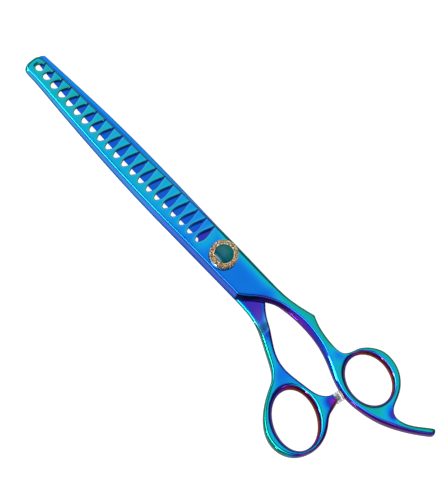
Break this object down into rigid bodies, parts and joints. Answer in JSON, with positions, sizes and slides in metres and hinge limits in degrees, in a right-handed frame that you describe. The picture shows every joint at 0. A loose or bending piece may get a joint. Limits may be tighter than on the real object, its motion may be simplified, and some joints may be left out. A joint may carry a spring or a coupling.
{
  "type": "thinning shears",
  "caption": "Thinning shears with one straight and one wide toothed blade, offset finger rings, fixed tang, jewelled tension dial and a clear bumper between the handles.",
  "frame": {"origin": "on the pivot axis, in the plane of the back faces that the shears lie on", "axes": "+Y towards the blade tips, +X towards the finger ring's side, +Z out of the front, where the tension dial is"},
  "size_m": [0.0643, 0.2344, 0.0095],
  "materials": {
    "rainbow_steel": "mirror polished, rainbow titanium coating",
    "plain_steel": "turned",
    "dark_steel": "blackened",
    "bush_bronze": "satin",
    "gold_metal": "polished gold plate",
    "foil": "mirror",
    "champagne_stone": "faceted",
    "teal_stone": "polished dome",
    "clear_plastic": "clear",
    "white_nylon": "smooth"
  },
  "bodies": {
    "toothed_side": {"toothed_half": "rainbow_steel", "pivot_bush": "bush_bronze"},
    "straight_side": {"straight_half": "rainbow_steel", "pivot_bolt": "plain_steel", "ride_washer": "white_nylon", "thrust_washer": "white_nylon", "disc_spring": "plain_steel", "click_plate": "plain_steel", "bumper": "clear_plastic", "bumper_screw": "dark_steel"},
    "tension_dial": {"dial_nut": "gold_metal", "dial_bezel": "gold_metal", "bezel_stones": "champagne_stone", "gem_foil": "foil", "gem_cabochon": "teal_stone"}
  },
  "joints": [
    {"name": "blade_pivot", "type": "hinge", "parent": "toothed_side", "child": "straight_side", "pos_m": [0, 0, 0.003], "axis": [0, 0, 1], "range_deg": [-110, 0]},
    {"name": "dial_turn", "type": "hinge", "parent": "straight_side", "child": "tension_dial", "pos_m": [0, 0, 0.0075], "axis": [0, 0, 1], "range_deg": [-90, 180]}
  ]
}
